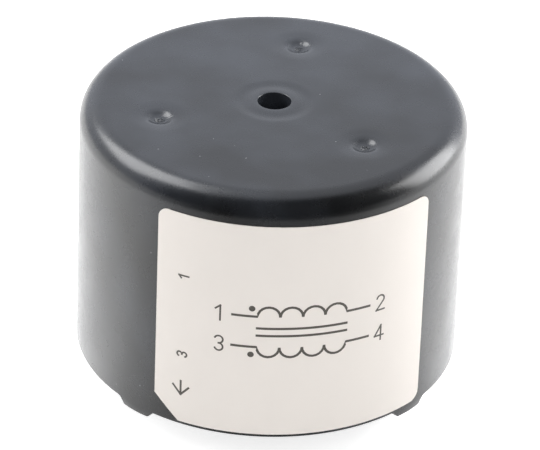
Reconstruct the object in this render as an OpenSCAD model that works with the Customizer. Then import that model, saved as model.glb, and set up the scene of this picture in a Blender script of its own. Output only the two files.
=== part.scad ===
// Common mode choke: two windings on one cased ring core, potted in a round moulded can.
// The origin is on the axis of the screw hole, in the plane that the feet stand on, and +Z is up.
// The label faces -Y. Every length is in millimetres.

/* [Can] */
// Outside diameter of the can at its rim
can_d = 51; // [46:0.5:70]
// Height from the feet to the top face
can_h = 36.5; // [33:0.5:50]
// Thickness of the side wall
can_wall = 1.5; // [1.2:0.1:2]
// Thickness of the top plate
can_top = 1.6; // [1.2:0.1:2.4]
// Radius of the rounded top edge
can_edge_r = 3; // [2:0.25:4]
// Radius in the corner under the top plate
can_inner_r = 1.5; // [0.8:0.1:2]
// Angle by which the mould lets the wall lean inwards, in degrees
draft = 0.3; // [0.1:0.1:0.5]

/* [Screw hole] */
// Diameter of the hole through the middle, which clears an M4 screw
hole_d = 4.4; // [3.2:0.1:6.4]
// Wall of the tube round the hole
tube_wall = 2.2; // [1.5:0.1:3]
// Thickness of the two fins on the tube, between the windings
fin_t = 1.6; // [1:0.1:2.4]

/* [Feet] */
// Height of the feet under the rim
foot_h = 1; // [0.5:0.1:2]
// Width of a foot at the rim
foot_w = 5.9; // [4.5:0.1:8]
// How far each side of a foot leans in on the way down
foot_slope_w = 0.85; // [0.3:0.05:1.2]

/* [Gate dimples] */
// Number of dimples in the top face
gate_count = 3; // [2:1:4]
// Diameter of the circle that they lie on
gate_circle_d = 31.1; // [26:0.1:36]
// Angle of the first dimple from +X, in degrees
gate_turn = 75; // [0:5:120]
// Diameter of a dimple at the top face
gate_d = 3.6; // [3:0.1:4.5]
// Depth of a dimple
gate_depth = 0.45; // [0.4:0.05:0.8]
// Diameter of the broken gate that stands in a dimple
gate_nub_d = 1; // [0.6:0.1:1.4]
// Height of the broken gate
gate_nub_h = 0.35; // [0.2:0.05:0.4]

/* [Label] */
// Width of the label round the wall
label_w = 38.1; // [30:0.1:60]
// How far its middle lies to the right of the front line
label_shift = 2.4; // [0:0.1:5]
// Thickness of the label
label_t = 0.12; // [0.08:0.01:0.2]
// Bare wall between the rim and the label
label_low_gap = 0.4; // [0.2:0.1:2]
// Bare wall between the label and the rounded top edge
label_top_gap = 0.7; // [0.2:0.1:2]
// Radius of three of its corners
label_corner_r = 1.5; // [0.5:0.1:3]
// Width cut off its lower left corner
label_cut_w = 3.6; // [2:0.1:5]
// Height cut off its lower left corner
label_cut_h = 3.2; // [2:0.1:5]

/* [Core and case] */
// Bore of the ring core
core_bore_d = 25; // [23:0.5:28]
// Wall of the core's case
case_wall = 0.8; // [0.6:0.1:1.2]
// Radius of the case's edges, which the wire bends over
case_edge_r = 1; // [0.6:0.1:1.2]
// How far the lid's skirt reaches down over the cup
lid_lap = 2; // [1:0.5:5]

/* [Windings] */
// Diameter of the enamelled wire
wire_d = 1.5; // [1.2:0.05:1.8]
// Gap between neighbouring turns in the bore
turn_gap = 0.45; // [0.42:0.01:0.8]
// Least gap between the two windings in the bore
winding_apart = 5.5; // [5:0.1:8]
// Room between the windings and the can's wall at the rim
winding_room = 1.55; // [1.4:0.05:3]

/* [Terminals] */
// Spacing of the terminals across the can
pin_pitch_x = 15; // [14:0.5:18]
// Spacing of the terminals from front to back
pin_pitch_y = 25; // [22:0.5:28]
// Length of a terminal below the feet
pin_length = 4.5; // [3:0.1:8]
// Bevel at the terminal's tip
pin_bevel = 0.3; // [0.1:0.05:0.4]

/* [Spacers, plate and resin] */
// Thickness of the spacer's strap round the case
spacer_t = 1; // [0.8:0.1:1.4]
// Width of the rib along the strap
spacer_rib_w = 1.2; // [0.8:0.1:2]
// How far the rib stands above the strap
spacer_rib_h = 1.25; // [0.9:0.05:1.6]
// Thickness of the plate that guides the leads
plate_t = 1.5; // [1:0.1:2]
// Depth of the resin's face inside the rim
resin_recess = 1.8; // [1.2:0.1:2.5]

/* [Hidden] */
$fn = 96;
// Overrun of every cut past the face that it opens
over = 0.5;
// Gaps between pieces that lie against each other
fit_gap = 0.05;
core_gap = 0.1;
lap_gap = 0.05;
rest_gap = 0.1;
pin_gap = 0.075;
plate_gap = 0.25;
resin_gap = 0.1;
lead_side_gap = 0.15;
glue_t = 0.03;
// Ledges inside the wall that stop the guide plate
ledge_w = 2;
ledge_proud = 0.8;
fin_gap = 0.55;
foot_count = 4;
foot_turn = 45;
// Angle of the front, where the label is and the windings start
front_turn = 270;
// Slope at the side of a gate dimple and taper of the broken gate in it
gate_slope = 0.5;
gate_nub_taper = 0.1;
core_bevel = 0.3;
// Spacer: room beside the wires, and hooks under the case
spacer_side_gap = 0.75;
spacer_hook = 1.5;
// Guide plate: cover of resin under it, bosses round its pin holes, holes and notches for the resin
plate_cover = 1.7;
boss_wall = 0.95;
boss_h = 0.9;
vent_d = 3;
vent_turn = 22.5;
vent_inset = 5.15;
notch_r = 2.2;
// Leads: room over the plate, gap under the turns, and bend
lead_room = 1.15;
lead_gap = 0.5;
lead_bend_r = 1.5;
meniscus_r = 0.8;
pin_meniscus_r = 0.45;
// The wire is drawn with six sides, and each square bend with four steps
wire_sides = 6;
bend_steps = 4;
// Step between the points on which the gap between turns is measured
measure_step = 1;

// Places worked out from the sizes, from the feet up
can_r = can_d / 2;
cavity_r = can_r - can_wall;
tube_r = hole_d / 2 + tube_wall;
wire_r = wire_d / 2;
rim_z = foot_h;
cavity_top = can_h - can_top;
root_z = can_h - can_top / 2;
resin_z = rim_z + resin_recess;
plate_z = resin_z + plate_cover;
plate_top = plate_z + plate_t;
lead_z = plate_top + lead_room + wire_r;
run_low_z = lead_z + wire_d + lead_gap;
case_low = run_low_z + wire_r + fit_gap;
case_top = cavity_top - rest_gap - spacer_rib_h - spacer_t - fit_gap;
run_top_z = case_top + fit_gap + wire_r;
case_r = cavity_r - winding_room - wire_d - fit_gap;
case_bore_r = core_bore_d / 2 - core_gap - case_wall;
core_r = case_r - case_wall - core_gap;
core_h = case_top - case_low - 2 * (case_wall + core_gap);
echo(core_d = 2 * core_r, core_bore_d = core_bore_d, core_h = core_h);

// Radius of a leaning wall at a height, from its radius at the rim
function lean(rim_radius, z) = rim_radius - (z - rim_z) * tan(draft);

// Half section of a body that leans inwards and is rounded at its top edge
module leaning_section(rim_radius, low, high, edge_r) {
    edge_z = high - edge_r;
    edge_x = lean(rim_radius, edge_z) - edge_r / cos(draft);
    polygon([
        [0, low],
        [lean(rim_radius, low), low],
        [edge_x + edge_r * cos(draft), edge_z + edge_r * sin(draft)],
        [edge_x, edge_z],
        [edge_x, high],
        [0, high]
    ]);
    translate([edge_x, edge_z])
        circle(edge_r);
}

// The hollow of the can, which the resin fills again
module cavity() {
    rotate_extrude()
        leaning_section(cavity_r, -over, cavity_top, can_inner_r);
}

module tube() {
    cylinder(r = tube_r, h = root_z);
}

// Fins on the tube, in the two gaps between the windings
module fins() {
    fin_r = case_bore_r - fit_gap - spacer_t - fin_gap;
    for (side = [0, 180])
        rotate(side)
            translate([-fin_t / 2, 0, case_low])
                cube([fin_t, fin_r, root_z - case_low]);
}

// Upright ledges inside the wall, whose lower ends stop the guide plate, rooted half way into the wall and the top
module ledges() {
    intersection() {
        rotate_extrude()
            leaning_section(can_r - can_wall / 2, 0, root_z, can_edge_r - can_wall / 2);
        for (i = [0 : foot_count - 1])
            rotate(foot_turn + i * 360 / foot_count)
                translate([cavity_r - ledge_proud, -ledge_w / 2, plate_top])
                    cube([ledge_proud + can_wall, ledge_w, root_z - plate_top]);
    }
}

// What is cut off the wall under the rim, so that the feet are left
module below_rim_cut() {
    half = foot_w / 2;
    low_half = half - foot_slope_w * (1 + over / rim_z);
    difference() {
        translate([0, 0, -over])
            cylinder(r = can_r + over, h = rim_z + over);
        for (i = [0 : foot_count - 1])
            rotate(foot_turn + i * 360 / foot_count)
                rotate([90, 0, 90])
                    linear_extrude(can_d)
                        polygon([
                            [-low_half, -over],
                            [low_half, -over],
                            [half, rim_z],
                            [half, rim_z + over],
                            [-half, rim_z + over],
                            [-half, rim_z]
                        ]);
    }
}

module at_gates() {
    for (i = [0 : gate_count - 1])
        rotate(gate_turn + i * 360 / gate_count)
            translate([gate_circle_d / 2, 0, can_h])
                children();
}

// The dish of one dimple, less the broken gate that stands in it
module gate_cut() {
    floor_r = gate_d / 2 - gate_slope;
    difference() {
        rotate_extrude()
            polygon([
                [0, -gate_depth],
                [floor_r, -gate_depth],
                [gate_d / 2, 0],
                [gate_d / 2, over],
                [0, over]
            ]);
        translate([0, 0, -gate_depth - over])
            cylinder(r = gate_nub_d / 2, h = over + gate_nub_h - gate_nub_taper);
        translate([0, 0, -gate_depth + gate_nub_h - gate_nub_taper])
            cylinder(r1 = gate_nub_d / 2, r2 = gate_nub_d / 2 - gate_nub_taper, h = gate_nub_taper);
    }
}

module housing() {
    color("#3b3c3f")
        difference() {
            union() {
                difference() {
                    rotate_extrude()
                        leaning_section(can_r, 0, can_h, can_edge_r);
                    cavity();
                    below_rim_cut();
                }
                tube();
                fins();
                ledges();
            }
            translate([0, 0, -over])
                cylinder(d = hole_d, h = can_h + 2 * over);
            at_gates()
                gate_cut();
        }
}

// A piece that rounds off one corner of the label
module round_corner() {
    difference() {
        translate([-over, -over])
            square(label_corner_r + over);
        translate([label_corner_r, label_corner_r])
            circle(label_corner_r);
    }
}

// A piece that cuts one corner of the label straight
module straight_corner() {
    polygon([
        [-over, -over],
        [label_cut_w + over * label_cut_w / label_cut_h, -over],
        [-over, label_cut_h + over * label_cut_h / label_cut_w]
    ]);
}

// Places a flat outline on the wall at an angle and a height, and cuts inwards with it
module cut_at(angle, z) {
    rotate(angle)
        translate([can_r - can_wall, 0, z])
            rotate([90, 0, 90])
                linear_extrude(2 * can_wall)
                    children();
}

module label() {
    per_mm = 180 / (PI * can_r);
    start = front_turn + (label_shift - label_w / 2) * per_mm;
    turn = label_w * per_mm;
    low = rim_z + label_low_gap;
    high = can_h - can_edge_r - label_top_gap;
    inner = can_r + glue_t;
    outer = inner + label_t;
    color("#f2efea")
        difference() {
            rotate(start)
                rotate_extrude(angle = turn)
                    polygon([
                        [lean(inner, low), low],
                        [lean(outer, low), low],
                        [lean(outer, high), high],
                        [lean(inner, high), high]
                    ]);
            cut_at(start, low)
                straight_corner();
            cut_at(start + turn, low)
                mirror([1, 0])
                    round_corner();
            cut_at(start + turn, high)
                rotate(180)
                    round_corner();
            cut_at(start, high)
                mirror([0, 1])
                    round_corner();
        }
}

// Half section of the core's case, grown by a distance on every side
module case_section(grow) {
    edge = case_edge_r + grow;
    x0 = case_bore_r - grow;
    x1 = case_r + grow;
    z0 = case_low - grow;
    z1 = case_top + grow;
    translate([x0 + edge, z0])
        square([x1 - x0 - 2 * edge, z1 - z0]);
    translate([x0, z0 + edge])
        square([x1 - x0, z1 - z0 - 2 * edge]);
    for (x = [x0 + edge, x1 - edge], z = [z0 + edge, z1 - edge])
        translate([x, z])
            circle(edge);
}

module core_ring() {
    low = case_low + case_wall + core_gap;
    high = low + core_h;
    bore_r = core_bore_d / 2;
    color("#8d9094")
        rotate_extrude()
            polygon([
                [bore_r + core_bevel, low],
                [core_r - core_bevel, low],
                [core_r, low + core_bevel],
                [core_r, high - core_bevel],
                [core_r - core_bevel, high],
                [bore_r + core_bevel, high],
                [bore_r, high - core_bevel],
                [bore_r, low + core_bevel]
            ]);
}

// Half section of what the lid takes of the case: its plate and its outer skirt
module lid_section(gap) {
    skirt_r = case_r - case_wall / 2 - gap;
    plate_low = case_top - case_wall;
    translate([0, plate_low])
        square([case_r + over, case_wall + over]);
    translate([skirt_r, plate_low - lid_lap - gap])
        square([case_r + over - skirt_r, lid_lap + gap + over]);
}

module core_room() {
    inner = case_bore_r + case_wall;
    low = case_low + case_wall;
    translate([inner, low])
        square([core_r + core_gap - inner, case_top - case_wall - low]);
}

module core_case_cup() {
    color("#d9d6cc")
        rotate_extrude()
            difference() {
                case_section(0);
                core_room();
                lid_section(lap_gap);
            }
}

module core_case_lid() {
    color("#d9d6cc")
        rotate_extrude()
            difference() {
                intersection() {
                    case_section(0);
                    lid_section(0);
                }
                core_room();
            }
}

// Turns that fit side by side in the bore, and the angle at which each winding starts
inner_leg_r = case_bore_r - fit_gap - wire_r;
outer_leg_r = case_r + fit_gap + wire_r;
pitch = 2 * asin((wire_d + turn_gap) / 2 / inner_leg_r);
least_start = asin((winding_apart + wire_d) / 2 / inner_leg_r);
turns = floor((180 - 2 * least_start) / pitch + 1 / 2);
start_angle = (180 - (turns - 1 / 2) * pitch) / 2;
coil_bend_r = case_edge_r + fit_gap + wire_r;

// Inner and outer upright of one turn, counted from the front, on the left half of the core
function inner_leg(k, z) =
    let (a = front_turn - start_angle - k * pitch) [inner_leg_r * cos(a), inner_leg_r * sin(a), z];
function outer_leg(k, z) =
    let (a = front_turn - start_angle - (k + 1 / 2) * pitch) [outer_leg_r * cos(a), outer_leg_r * sin(a), z];
function pin_point(end, z) = [-pin_pitch_x / 2, end * pin_pitch_y / 2, z];

// Square corners of the whole wire from the resin's face: front lead, turns, rear lead
wire_corners = concat(
    [pin_point(-1, resin_z), pin_point(-1, lead_z), inner_leg(0, lead_z)],
    [for (k = [0 : turns - 1], c = concat(
        k == 0 ? [] : [outer_leg(k - 1, run_low_z), inner_leg(k, run_low_z)],
        [inner_leg(k, run_top_z), outer_leg(k, run_top_z)])) c],
    [outer_leg(turns - 1, lead_z), pin_point(1, lead_z), pin_point(1, resin_z)]
);

function unit(v) = v / norm(v);
lead_corners = 2;
corner_last = len(wire_corners) - 1;
function is_lead(i) = i <= lead_corners || i >= corner_last - lead_corners;

// Points round one square corner, from the direction that comes in to the one that leaves
function bend(corner, from, to, r) =
    [for (i = [0 : bend_steps]) let (a = 90 * i / bend_steps) corner + r * (to - from + sin(a) * from - cos(a) * to)];

wire_path = concat(
    [wire_corners[0]],
    [for (i = [1 : corner_last - 1], p = bend(
        wire_corners[i],
        unit(wire_corners[i] - wire_corners[i - 1]),
        unit(wire_corners[i + 1] - wire_corners[i]),
        is_lead(i) ? lead_bend_r : coil_bend_r)) p],
    [wire_corners[corner_last]]
);

// Direction of the wire at each of its points
wire_last = len(wire_path) - 1;
function heading(i) = unit(wire_path[min(i + 1, wire_last)] - wire_path[max(i - 1, 0)]);

// One ring of the wire's skin, set by the direction round the core at its point
function wire_ring(i) =
    let (
        p = wire_path[i],
        along = heading(i),
        round_core = unit([-p.y, p.x, 0]),
        side = unit(round_core - (round_core * along) * along),
        up = cross(along, side)
    )
    [for (j = [0 : wire_sides - 1]) let (a = j * 360 / wire_sides) p + wire_r * (cos(a) * side + sin(a) * up)];

function next_side(j) = (j + 1) % wire_sides;

module wire() {
    points = [for (i = [0 : wire_last], p = wire_ring(i)) p];
    skin = [for (i = [0 : wire_last - 1], j = [0 : wire_sides - 1], half = [0, 1])
        let (a = i * wire_sides, b = a + wire_sides)
        half == 0 ? [a + j, b + j, b + next_side(j)] : [a + j, b + next_side(j), a + next_side(j)]];
    front_cap = [for (j = [1 : wire_sides - 2]) [0, j, j + 1]];
    last = wire_last * wire_sides;
    rear_cap = [for (j = [1 : wire_sides - 2]) [last, last + j + 1, last + j]];
    polyhedron(points, concat(skin, front_cap, rear_cap));
}

// The least gap of the wire to itself, measured on points along it that are at least two turns' bends apart
wire_marks = [for (i = [0 : wire_last - 1])
    let (a = wire_path[i], b = wire_path[i + 1], n = max(1, round(norm(b - a) / measure_step)))
    for (j = [0 : n - 1]) a + (b - a) * j / n];
apart = ceil(2 * coil_bend_r * PI / measure_step);
wire_gap = min([for (i = [0 : len(wire_marks) - 1], j = [i + apart : 1 : len(wire_marks) - 1])
    norm(wire_marks[i] - wire_marks[j])]) - wire_d;
echo(turns = turns, least_gap_of_a_winding_to_itself = wire_gap);

module winding_1() {
    color("#b5652e")
        wire();
}

module winding_2() {
    color("#b5652e")
        mirror([1, 0, 0])
            wire();
}

// A clip over the core's case between the windings, with a rib that keeps it off the can
module spacer() {
    width = winding_apart - 2 * spacer_side_gap;
    strap = fit_gap + spacer_t;
    low = case_low - strap - over;
    high = cavity_top - rest_gap;
    color("#ece8dc")
        union() {
            intersection() {
                rotate_extrude()
                    difference() {
                        case_section(strap);
                        case_section(fit_gap);
                        translate([case_bore_r + spacer_hook, low])
                            square([case_r - case_bore_r - 2 * spacer_hook, case_low - low]);
                    }
                translate([-width / 2, -can_r, low])
                    cube([width, can_r, can_h]);
            }
            intersection() {
                rotate_extrude()
                    difference() {
                        case_section(strap + spacer_rib_h);
                        case_section(fit_gap + spacer_t / 2);
                    }
                translate([-spacer_rib_w / 2, -can_r, case_low])
                    cube([spacer_rib_w, can_r - case_bore_r, high - case_low]);
            }
        }
}

module winding_spacer_front() {
    spacer();
}

module winding_spacer_rear() {
    rotate(180)
        spacer();
}

// Puts its children at the four terminals
module at_pins() {
    for (x = [-1, 1], y = [-1, 1])
        translate([x * pin_pitch_x / 2, y * pin_pitch_y / 2, 0])
            children();
}

module lead_guide_plate() {
    plate_r = cavity_r - plate_gap;
    boss_r = wire_r + pin_gap + boss_wall;
    color("#c9b98f")
        difference() {
            union() {
                translate([0, 0, plate_z])
                    cylinder(r = plate_r, h = plate_t);
                at_pins()
                    translate([0, 0, plate_z - boss_h])
                        cylinder(r = boss_r, h = boss_h + plate_t / 2);
            }
            translate([0, 0, plate_z - over])
                cylinder(r = tube_r + plate_gap, h = plate_t + 2 * over);
            at_pins()
                translate([0, 0, plate_z - boss_h - over])
                    cylinder(r = wire_r + pin_gap, h = boss_h + plate_t + 2 * over);
            for (side = [0, 180], turn = [-vent_turn, vent_turn])
                rotate(side + turn)
                    translate([plate_r - vent_inset, 0, plate_z - over])
                        cylinder(d = vent_d, h = plate_t + 2 * over);
            for (i = [0 : foot_count - 1])
                rotate(i * 360 / foot_count)
                    translate([plate_r, 0, plate_z - over])
                        cylinder(r = notch_r, h = plate_t + 2 * over);
        }
}

// The tinned end of a winding's wire, from the resin's face down through the board
module terminal() {
    color("#c8cacc")
        union() {
            translate([0, 0, pin_bevel - pin_length])
                cylinder(d = wire_d, h = resin_z + pin_length - pin_bevel);
            translate([0, 0, -pin_length])
                cylinder(r1 = wire_r - pin_bevel, r2 = wire_r, h = pin_bevel);
        }
}

module terminal_1() {
    translate(pin_point(-1, 0))
        terminal();
}

module terminal_2() {
    translate(pin_point(1, 0))
        terminal();
}

module terminal_3() {
    mirror([1, 0, 0])
        terminal_1();
}

module terminal_4() {
    mirror([1, 0, 0])
        terminal_2();
}

// Room in the resin for one lead, from its terminal to the upright that it runs to
module lead_room_cut(pin, leg) {
    half = wire_r + lead_side_gap;
    run = leg - pin;
    translate([pin.x, pin.y, plate_top])
        rotate(atan2(run.y, run.x))
            translate([-half, -half, 0])
                cube([norm([run.x, run.y]) + 2 * half, 2 * half, case_low - plate_top]);
}

// Room in the resin for the whole coil
module coil_room() {
    grow = fit_gap + wire_d + resin_gap;
    rotate_extrude()
        translate([case_bore_r - grow, case_low - grow])
            square([case_r - case_bore_r + 2 * grow, case_top - case_low + 2 * grow]);
}

// A ring of resin that climbs what it meets, with a hollow face
module meniscus(r, size, side) {
    rotate_extrude()
        difference() {
            translate([side < 0 ? r - size : r, resin_z - size])
                square([size, size + over]);
            translate([r + side * size, resin_z - size])
                circle(size);
        }
}

module potting_resin() {
    slot = spacer_rib_w / 2 + resin_gap;
    color("#26272a")
        difference() {
            union() {
                intersection() {
                    cavity();
                    translate([0, 0, resin_z])
                        cylinder(r = can_r, h = can_h);
                }
                meniscus(lean(cavity_r, resin_z), meniscus_r, -1);
                meniscus(tube_r, meniscus_r, 1);
                at_pins()
                    meniscus(wire_r, pin_meniscus_r, 1);
            }
            tube();
            fins();
            ledges();
            coil_room();
            for (side = [0, 180])
                rotate(side)
                    translate([-slot, case_bore_r, case_low])
                        cube([2 * slot, case_r + fit_gap + spacer_t + spacer_rib_h + resin_gap - case_bore_r, can_h]);
            lead_guide_plate();
            at_pins()
                translate([0, 0, -pin_length])
                    cylinder(r = wire_r, h = pin_length + resin_z);
            at_pins()
                translate([0, 0, resin_z])
                    cylinder(r = wire_r + pin_gap, h = plate_top - resin_z);
            for (side = [0, 1])
                mirror([side, 0, 0]) {
                    lead_room_cut(pin_point(-1, 0), inner_leg(0, 0));
                    lead_room_cut(pin_point(1, 0), outer_leg(turns - 1, 0));
                }
        }
}

housing();
label();
core_ring();
core_case_cup();
core_case_lid();
winding_1();
winding_2();
winding_spacer_front();
winding_spacer_rear();
lead_guide_plate();
terminal_1();
terminal_2();
terminal_3();
terminal_4();
potting_resin();
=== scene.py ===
import math
import random

import bpy
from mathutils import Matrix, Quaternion, Vector


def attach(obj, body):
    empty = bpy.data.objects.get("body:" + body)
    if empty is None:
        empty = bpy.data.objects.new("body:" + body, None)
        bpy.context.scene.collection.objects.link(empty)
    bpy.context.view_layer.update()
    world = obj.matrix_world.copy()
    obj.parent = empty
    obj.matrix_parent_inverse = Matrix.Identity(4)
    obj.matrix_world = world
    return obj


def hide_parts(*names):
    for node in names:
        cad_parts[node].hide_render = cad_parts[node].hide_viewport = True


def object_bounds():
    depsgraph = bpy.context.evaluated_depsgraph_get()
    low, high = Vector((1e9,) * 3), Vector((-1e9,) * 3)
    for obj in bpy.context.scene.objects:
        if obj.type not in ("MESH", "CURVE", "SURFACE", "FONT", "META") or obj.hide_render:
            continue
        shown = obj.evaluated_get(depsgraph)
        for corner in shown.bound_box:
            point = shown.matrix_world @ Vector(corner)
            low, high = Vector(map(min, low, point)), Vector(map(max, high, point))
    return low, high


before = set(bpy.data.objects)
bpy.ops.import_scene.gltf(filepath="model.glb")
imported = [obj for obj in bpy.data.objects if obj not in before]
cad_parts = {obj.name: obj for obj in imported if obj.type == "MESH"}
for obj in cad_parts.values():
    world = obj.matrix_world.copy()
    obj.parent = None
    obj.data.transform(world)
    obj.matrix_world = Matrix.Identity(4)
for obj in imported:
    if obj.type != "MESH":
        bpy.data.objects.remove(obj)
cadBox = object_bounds()
mm = 0.001
fullTurn = 2 * math.pi
mergeGap = 0.001 * mm       # points nearer than this are one point
print("frame loaded:", len(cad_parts), "nodes")


# Helpers for object and edit mode
def deselectAll():
    bpy.ops.object.select_all(action="DESELECT")


def pickOnly(obj):
    deselectAll()
    obj.select_set(True)
    bpy.context.view_layer.objects.active = obj


def startPiece(name):
    obj = bpy.context.active_object
    obj.name = name
    obj.data.name = name
    return obj


def editOn(obj, kind="VERT"):
    pickOnly(obj)
    bpy.ops.object.mode_set(mode="EDIT")
    bpy.ops.mesh.select_mode(type=kind)


def editOff():
    bpy.ops.object.mode_set(mode="OBJECT")


def startSelection(obj, kind):
    editOn(obj, kind)
    bpy.ops.mesh.select_all(action="DESELECT")
    editOff()


def selectFaces(obj, wanted):
    # leaves edit mode on, with the faces selected whose centre and normal pass the test
    startSelection(obj, "FACE")
    for face in obj.data.polygons:
        face.select = bool(wanted(face.center, face.normal))
    bpy.ops.object.mode_set(mode="EDIT")


def selectEdges(obj, wanted):
    # the same for edges, by their two ends
    startSelection(obj, "EDGE")
    points = obj.data.vertices
    for edge in obj.data.edges:
        edge.select = bool(wanted(points[edge.vertices[0]].co, points[edge.vertices[1]].co))
    bpy.ops.object.mode_set(mode="EDIT")


def selectPoints(obj, wanted):
    startSelection(obj, "VERT")
    for point in obj.data.vertices:
        point.select = bool(wanted(point.co))
    bpy.ops.object.mode_set(mode="EDIT")


def mergeAll():
    # in edit mode: points that lie together become one
    bpy.ops.mesh.select_all(action="SELECT")
    bpy.ops.mesh.remove_doubles(threshold=mergeGap)


def faceOut():
    # in edit mode: every face turns its outside out
    bpy.ops.mesh.select_all(action="SELECT")
    bpy.ops.mesh.normals_make_consistent(inside=False)


def moveAll(obj, step):
    editOn(obj)
    bpy.ops.mesh.select_all(action="SELECT")
    bpy.ops.transform.translate(value=step)
    editOff()


def drawOutline(name, points):
    # one point is extruded along a half section in the XZ plane
    deselectAll()
    bpy.ops.mesh.primitive_plane_add(size=mm)
    obj = startPiece(name)
    editOn(obj)
    bpy.ops.mesh.select_all(action="SELECT")
    bpy.ops.mesh.merge(type="CENTER")
    bpy.ops.transform.translate(value=(points[0][0], 0, points[0][1]))
    for last, new in zip(points, points[1:]):
        step = (new[0] - last[0], 0, new[1] - last[1])
        bpy.ops.mesh.extrude_region_move(TRANSFORM_OT_translate={"value": step})
    editOff()
    return obj


def latheOutline(name, points, steps):
    obj = drawOutline(name, points)
    editOn(obj)
    mergeAll()
    bpy.ops.mesh.select_all(action="SELECT")
    bpy.ops.mesh.spin(steps=steps, angle=fullTurn, center=(0, 0, 0), axis=(0, 0, 1))
    mergeAll()
    faceOut()
    editOff()
    return obj


def arcPoints(centre, radius, start, stop, steps):
    # points on an arc of a half section, angles in degrees from the r axis
    turn = (math.radians(start + (stop - start) * i / steps) for i in range(steps + 1))
    return [(centre[0] + radius * math.cos(a), centre[1] + radius * math.sin(a)) for a in turn]


def applyModifier(obj, kind, **settings):
    pickOnly(obj)
    modifier = obj.modifiers.new(kind.title(), kind)
    for key, value in settings.items():
        setattr(modifier, key, value)
    bpy.ops.object.modifier_apply(modifier=modifier.name)


def cutWith(obj, tool, operation):
    applyModifier(obj, "BOOLEAN", operation=operation, object=tool, solver="EXACT")
    bpy.data.objects.remove(tool)


def joinPieces(pieces, name):
    deselectAll()
    for piece in pieces:
        piece.select_set(True)
    bpy.context.view_layer.objects.active = pieces[0]
    bpy.ops.object.join()
    return startPiece(name)


def bakePlace(obj):
    pickOnly(obj)
    bpy.ops.object.transform_apply(location=True, rotation=True, scale=True)


def smoothEdges(obj, degrees):
    pickOnly(obj)
    bpy.ops.object.shade_smooth_by_angle(angle=math.radians(degrees))


def mergedCopy(node, name):
    # a copy of a node's loose triangles, with their shared points merged
    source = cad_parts[node]
    obj = bpy.data.objects.new(name, source.data.copy())
    bpy.context.scene.collection.objects.link(obj)
    obj.data.materials.clear()
    editOn(obj)
    mergeAll()
    editOff()
    return obj


# Materials
def newMaterial(name, color, roughness, **sockets):
    material = bpy.data.materials.new(name)
    material.use_nodes = True
    shader = material.node_tree.nodes["Principled BSDF"]
    shader.inputs["Base Color"].default_value = (*color, 1)
    shader.inputs["Roughness"].default_value = roughness
    for socket, value in sockets.items():
        shader.inputs[socket.replace("_", " ")].default_value = value
    return material, shader


def addNode(owner, kind, **settings):
    # the owner is a material or the world
    node = owner.node_tree.nodes.new("ShaderNode" + kind)
    for key, value in settings.items():
        if hasattr(node, key):
            setattr(node, key, value)
        else:
            node.inputs[key.replace("_", " ")].default_value = value
    return node


def wire(owner, source, target):
    owner.node_tree.links.new(source, target)


def objectPlace(material):
    return addNode(material, "TexCoord").outputs["Object"]


def noise(owner, place, size, detail=2.0, roughness=0.5):
    node = addNode(owner, "TexNoise", Scale=1 / size, Detail=detail, Roughness=roughness)
    wire(owner, place, node.inputs["Vector"])
    return node.outputs["Fac"]


def spread(owner, value, low, high, newLow=0.0, newHigh=1.0, kind="LINEAR"):
    # low to high becomes newLow to newHigh
    node = addNode(owner, "MapRange", interpolation_type=kind)
    wire(owner, value, node.inputs["Value"])
    for socket, number in zip(("From Min", "From Max", "To Min", "To Max"), (low, high, newLow, newHigh)):
        node.inputs[socket].default_value = number
    return node.outputs["Result"]


def combine(owner, first, second, operation):
    node = addNode(owner, "Math", operation=operation)
    for socket, value in zip(node.inputs, (first, second)):
        if isinstance(value, (int, float)):
            socket.default_value = value
        else:
            wire(owner, value, socket)
    return node.outputs[0]


def mixColors(owner, factor, first, second):
    node = addNode(owner, "Mix", data_type="RGBA")
    wire(owner, factor, node.inputs["Factor"])
    sockets = [s for s in node.inputs if s.type == "RGBA"]
    for socket, color in zip(sockets, (first, second)):
        if isinstance(color, tuple):
            socket.default_value = (*color, 1)
        else:
            wire(owner, color, socket)
    return [s for s in node.outputs if s.type == "RGBA"][0]


def xyParts(owner, vector):
    # the X and Y parts: for a direction, 1 to the right and 1 to the back
    parts = addNode(owner, "SeparateXYZ")
    wire(owner, vector, parts.inputs[0])
    return parts.outputs["X"], parts.outputs["Y"]


def vectorMath(owner, vector, operation, other=(0, 0, 0)):
    node = addNode(owner, "VectorMath", operation=operation)
    wire(owner, vector, node.inputs[0])
    node.inputs[1].default_value = other
    givesNumber = operation in ("LENGTH", "DOT_PRODUCT")
    return node.outputs["Value" if givesNumber else "Vector"]


def stretched(owner, vector, scale):
    node = addNode(owner, "Mapping", Scale=scale)
    wire(owner, vector, node.inputs["Vector"])
    return node.outputs[0]


def stripes(owner, value, width):
    turn = combine(owner, value, fullTurn / width, "MULTIPLY")
    return combine(owner, turn, 0, "SINE")


def addTone(material, shader, factor, first, second):
    wire(material, mixColors(material, factor, first, second), shader.inputs["Base Color"])


def addRoughness(material, shader, value, limits):
    wire(material, spread(material, value, *limits), shader.inputs["Roughness"])


def addBump(material, shader, height, distance, strength=1.0):
    node = addNode(material, "Bump", Strength=strength, Distance=distance)
    wire(material, height, node.inputs["Height"])
    wire(material, node.outputs["Normal"], shader.inputs["Normal"])


# Camera
photoCamera = {
    "azimuth": -3.95,           # degrees, 0 looks along +Y
    "elevation": 31.47,
    "roll": 2.18,               # the photograph shows the can turned a little clockwise
    "distance": 491.7 * mm,
    "targetZ": 18.74 * mm,      # half way up the can, on its axis
    "aimDrop": 1.04 * mm,       # the can stands a little above the middle of the picture
    "lens": 247.2,
    "sensor": 36,
    "clipStart": 10 * mm,
}


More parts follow.
